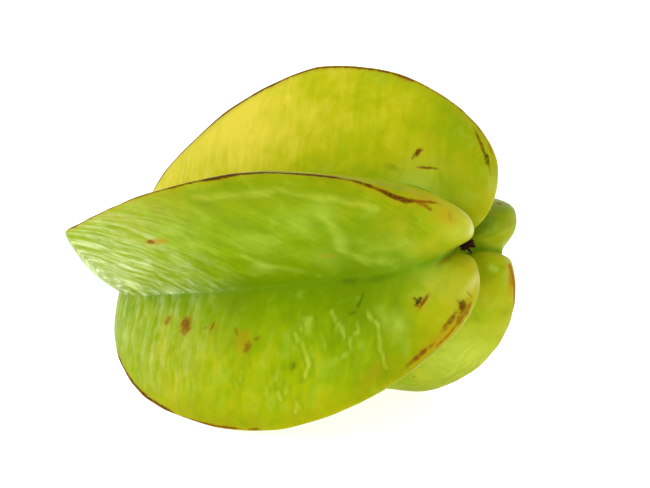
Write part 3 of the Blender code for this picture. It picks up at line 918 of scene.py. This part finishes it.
edge_break = make.noise(make.turn_vector("MULTIPLY", place, (0.9, 0.4, 1.0)), 1.0, 3.0, 0.65)
from_line = make.calc("ABSOLUTE", make.number("from_line"))
from_edge = make.calc("ADD", from_line, make.shift(edge_break, 0.9))
inside_rub = make.calc("SUBTRACT", make.number("rub_width"), from_edge)
rubbed = make.step(inside_rub, -0.22, 0.24)
rub_patchy = make.step(make.noise(world_place, 1300.0, 3.0, 0.6), 0.30, 0.62)
rub_patchy = make.calc("MULTIPLY_ADD", rub_patchy, 0.45, 0.7)
rub_tone = make.calc("MULTIPLY", make.number("rub_dark"), rub_patchy)
rub_colour = make.blend(rub_tone, hue("#A0660A"), hue("#442002"))
colour = make.tint(colour, make.step(inside_rub, -1.3, 0.1), 0.40, "#A29410")
colour = make.blend(make.calc("MULTIPLY", rubbed, 0.95), colour, rub_colour)
make.join(colour, shader.inputs["Base Color"])

dry = make.calc("MAXIMUM", rubbed, masks[1])
dry = make.calc("MAXIMUM", dry, make.calc("MULTIPLY", masks[0], 0.3))
rough = make.calc("MULTIPLY_ADD", dry, 0.30, 0.36)
rough = make.calc("ADD", rough, make.shift(mottle, 0.12))
make.join(rough, shader.inputs["Roughness"])
height = make.calc("MULTIPLY_ADD", streaks, 0.55, make.calc("MULTIPLY", fine_streaks, 0.25))
height = make.calc("ADD", height, make.calc("MULTIPLY", grain, 0.16))
height = make.calc("ADD", height, make.calc("MULTIPLY", dry, -0.35))
bump = make.add("Bump", Strength=0.35, Distance=0.00012, Height=height)
make.join(bump.outputs["Normal"], shader.inputs["Normal"])
shader.inputs["Specular IOR Level"].default_value = 0.035
shader.inputs["Specular Tint"].default_value = (0.80, 0.78, 0.35, 1)
shader.inputs["Subsurface Weight"].default_value = 0.22
shader.inputs["Subsurface Radius"].default_value = (1.0, 0.85, 0.15)
shader.inputs["Subsurface Scale"].default_value = 0.0035
skin_mesh.materials.append(skin)
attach(fruit_skin, "root")
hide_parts("fruit")

# The dried stalk is what is left after picking: a short ridged stub, torn off at its far end.
# Shrivelled sepals curl back from its foot, one towards each valley. All of it is one dead piece.
STUB_FOOT_AT = 40.62
STUB_RADIUS = 1.0
STUB_TIP_RADIUS = 0.72
STUB_LENGTH = 2.25
STUB_FLARE = 0.22
STUB_LEAN = 0.16
STUB_LEANS_TO = 60
STUB_TORN = 0.34
STUB_RIDGES = 7
STUB_AROUND = 42
STUB_ROWS = 18
Sepal = namedtuple("Sepal", "length half_width curl twist")
SEPALS = [
    Sepal(2.15, 0.70, 0.35, 0.2),
    Sepal(2.20, 0.62, 0.10, -0.3),
    Sepal(1.80, 0.66, 0.45, 0.3),
    Sepal(2.10, 0.58, 0.25, -0.2),
    Sepal(2.20, 0.60, -0.05, 0.1),
]
SEPAL_AROUND = 14
SEPAL_ROWS = 18
SEPAL_HALF_THICKNESS = 0.17
SEPAL_STARTS = 0.30
SEPAL_FOOT_RISE = 0.42
SEPAL_RISE = 1.15
stalk_points = []
stalk_faces = []


def close_tube(rings, foot, end):
    """Adds rings of points and the two closing points to the stalk's mesh as one closed shell."""
    first = len(stalk_points)
    sides = len(rings[0])
    stalk_points.extend([point for ring_points in rings for point in ring_points] + [foot, end])
    for row in range(len(rings) - 1):
        for i in range(sides):
            j = (i + 1) % sides
            low = first + row * sides
            stalk_faces.append((low + i, low + j, low + sides + j, low + sides + i))
    last = first + (len(rings) - 1) * sides
    for i in range(sides):
        j = (i + 1) % sides
        stalk_faces.append((first + sides * len(rings), first + j, first + i))
        stalk_faces.append((first + sides * len(rings) + 1, last + i, last + j))


along_fruit = pose @ np.array([1.0, 0.0, 0.0])
stub_foot = pose @ np.array([STUB_FOOT_AT, 0.0, 0.0]) + stand


def away(degrees):
    """The direction square to the fruit at an angle about its axis, as the ribs' angles are given."""
    return pose @ np.array([0.0, -math.cos(math.radians(degrees)), math.sin(math.radians(degrees))])


rings = []
for row in range(STUB_ROWS + 1):
    up = row / STUB_ROWS
    radius = STUB_RADIUS + (STUB_TIP_RADIUS - STUB_RADIUS) * up**0.6 + STUB_FLARE * (1 - up) ** 6
    ring_points = []
    for i in range(STUB_AROUND):
        turned = math.tau * i / STUB_AROUND
        ridge = 1 + 0.10 * math.cos(STUB_RIDGES * turned + 0.9 * up)
        ridge = ridge + 0.05 * math.cos(3 * turned - 2)
        rough = noise.noise(Vector((2.4 * math.cos(turned), 2.4 * math.sin(turned), 3.0 * up)))
        tear = noise.noise(Vector((1.9 * math.cos(turned), 1.9 * math.sin(turned), 7.0)))
        torn = STUB_TORN * up**8 * tear
        lean = STUB_LEAN * up * up
        spot = stub_foot + along_fruit * (STUB_LENGTH * up * 0.94 + torn)
        spot = spot + away(math.degrees(turned)) * radius * (ridge + 0.10 * rough)
        ring_points.append(spot + away(STUB_LEANS_TO) * lean)
    rings.append(ring_points)
stub_end = stub_foot + along_fruit * STUB_LENGTH * 0.80 + away(STUB_LEANS_TO) * STUB_LEAN
close_tube(rings, stub_foot, stub_end)

for number, sepal in enumerate(SEPALS):
    gap = (ribs[(number + 1) % len(ribs)].angle - ribs[number].angle) % 360
    heading = ribs[number].angle + gap / 2
    out_way = away(heading)
    side_way = away(heading + 90)
    rings = []
    for row in range(SEPAL_ROWS + 1):
        share = row / SEPAL_ROWS
        reach = SEPAL_STARTS + (sepal.length - SEPAL_STARTS) * share
        rise = SEPAL_FOOT_RISE + SEPAL_RISE * share + sepal.curl * share * share * (1.6 - share)
        half_width = sepal.half_width * (0.45 + 1.2 * share) * (1 - share) ** 0.55 + 0.05
        half_thickness = SEPAL_HALF_THICKNESS * (1 - 0.55 * share)
        ring_points = []
        for i in range(SEPAL_AROUND):
            turned = math.tau * i / SEPAL_AROUND
            across = math.cos(turned) * half_width
            thick = math.sin(turned) * half_thickness + 0.35 * across * across / sepal.half_width
            thick += 0.09 * noise.noise(Vector((3.1 * across + 9 * number, 3.3 * share, 1.5)))
            thick += sepal.twist * across * share
            up_way = along_fruit * 0.88 - out_way * 0.47
            spot = stub_foot + out_way * reach + along_fruit * rise
            ring_points.append(spot + side_way * across + up_way * thick)
        rings.append(ring_points)
    middles = [sum(rings[i]) / SEPAL_AROUND for i in (0, -1)]
    close_tube(rings, *middles)

stalk_mesh = bpy.data.meshes.new("dried_stub")
stalk_low, stalk_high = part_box("stalk")
stalk_points = np.clip(np.array(stalk_points) * MM, np.array(stalk_low), np.array(stalk_high))
stalk_mesh.from_pydata(stalk_points.tolist(), [], stalk_faces)
stalk_mesh.shade_smooth()
dried_stub = bpy.data.objects.new("dried_stub", stalk_mesh)
bpy.context.scene.collection.objects.link(dried_stub)

bark = bpy.data.materials.new("dead_stalk")
bark.use_nodes = True
make = Shading(bark.node_tree)
shader = bark.node_tree.nodes["Principled BSDF"]
bark_place = make.add("TexCoord").outputs["Object"]
flecks = make.noise(bark_place, 2600.0, 4.0, 0.6)
wrinkles = make.noise(bark_place, 5200.0, 3.0, 0.6)
colour = make.blend(make.step(flecks, 0.40, 0.72), hue("#1C0E05"), hue("#4C2C12"))
make.join(colour, shader.inputs["Base Color"])
shader.inputs["Roughness"].default_value = 0.78
shader.inputs["Specular IOR Level"].default_value = 0.06
height = make.calc("ADD", flecks, make.calc("MULTIPLY", wrinkles, 0.4))
bump = make.add("Bump", Strength=0.7, Distance=0.0001, Height=height)
make.join(bump.outputs["Normal"], shader.inputs["Normal"])
stalk_mesh.materials.append(bark)
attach(dried_stub, "root")
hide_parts("stalk")

# A white table that glows a little, in an even white room, with one broad lamp to the camera's left.
TABLE_HALF_SIZE = 6.0
TABLE_WHITE = 0.7
TABLE_GLOW = 0.80
table_mesh = bpy.data.meshes.new("table_top")
corners = [(-1, -1), (1, -1), (1, 1), (-1, 1)]
corners = [(x * TABLE_HALF_SIZE, y * TABLE_HALF_SIZE, 0) for x, y in corners]
table_mesh.from_pydata(corners, [], [(0, 1, 2, 3)])
table_top = bpy.data.objects.new("table_top", table_mesh)
bpy.context.scene.collection.objects.link(table_top)
table_paint = bpy.data.materials.new("white_table")
table_paint.use_nodes = True
table_shader = table_paint.node_tree.nodes["Principled BSDF"]
table_shader.inputs["Base Color"].default_value = (TABLE_WHITE, TABLE_WHITE, TABLE_WHITE, 1)
table_shader.inputs["Roughness"].default_value = 0.9
table_shader.inputs["Specular IOR Level"].default_value = 0.1
table_shader.inputs["Emission Color"].default_value = (1, 1, 1, 1)
table_shader.inputs["Emission Strength"].default_value = TABLE_GLOW
table_mesh.materials.append(table_paint)

world = bpy.data.worlds.new("white_room")
bpy.context.scene.world = world
world.use_nodes = True
world.node_tree.nodes["Background"].inputs["Color"].default_value = (1, 1, 1, 1)
world.node_tree.nodes["Background"].inputs["Strength"].default_value = 1.0

LAMP_FROM = (-0.3, -0.8, 0.45)
LAMP_STRENGTH = 0.6
LAMP_BREADTH = 20
lamp_data = bpy.data.lights.new("broad_lamp", "SUN")
lamp_data.energy = LAMP_STRENGTH
lamp_data.angle = math.radians(LAMP_BREADTH)
lamp = bpy.data.objects.new("broad_lamp", lamp_data)
lamp.rotation_euler = Vector(LAMP_FROM).to_track_quat("Z", "Y").to_euler()
bpy.context.scene.collection.objects.link(lamp)
bpy.context.scene.view_settings.view_transform = "Standard"

# The camera stands level, a little above the fruit, on the side of its stem end.
CAMERA_AT = (148.94, -250.36, 101.12)
CAMERA_AIMS_AT = (4.26, 3.47, 33.01)
LENS_MM = 77.76
camera_data = bpy.data.cameras.new("camera")
camera_data.lens = LENS_MM
camera = bpy.data.objects.new("camera", camera_data)
camera.location = Vector(CAMERA_AT) * MM
gaze = Vector(CAMERA_AIMS_AT) * MM - camera.location
camera.rotation_euler = gaze.to_track_quat("-Z", "Y").to_euler()
bpy.context.scene.collection.objects.link(camera)
bpy.context.scene.camera = camera
